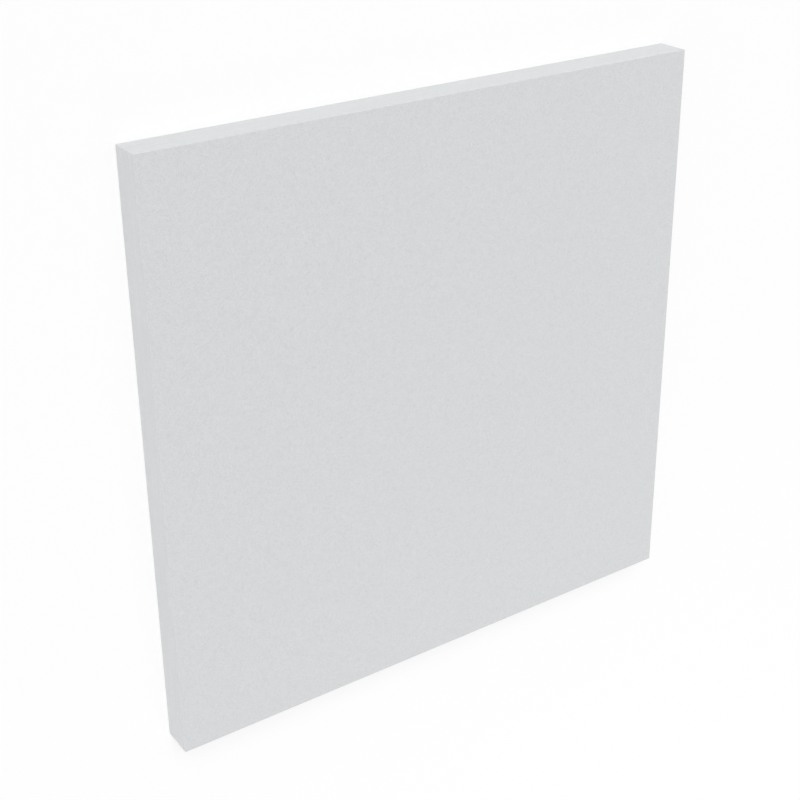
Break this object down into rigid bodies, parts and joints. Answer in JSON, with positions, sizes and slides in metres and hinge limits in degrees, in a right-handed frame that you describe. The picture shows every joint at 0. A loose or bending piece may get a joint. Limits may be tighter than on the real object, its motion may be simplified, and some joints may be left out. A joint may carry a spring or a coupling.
{
  "type": "acoustic wall panel",
  "caption": "Flat square sound-absorbing board of compressed fibre with a plain matt face and straight-cut edges, fixed by its back to a wall, alone or edge to edge in a grid.",
  "frame": {"origin": "middle of the board's back, on the plane that the back lies on", "axes": "+Z out of the face, away from the wall; +Y towards the edge that is uppermost on the wall; +X to the right as the face is looked at"},
  "size_m": [0.6, 0.6, 0.035],
  "materials": {
    "fibre_board": "soft matt, pale cool grey, dyed through"
  },
  "bodies": {
    "root": {"panel": "fibre_board"}
  },
  "joints": []
}
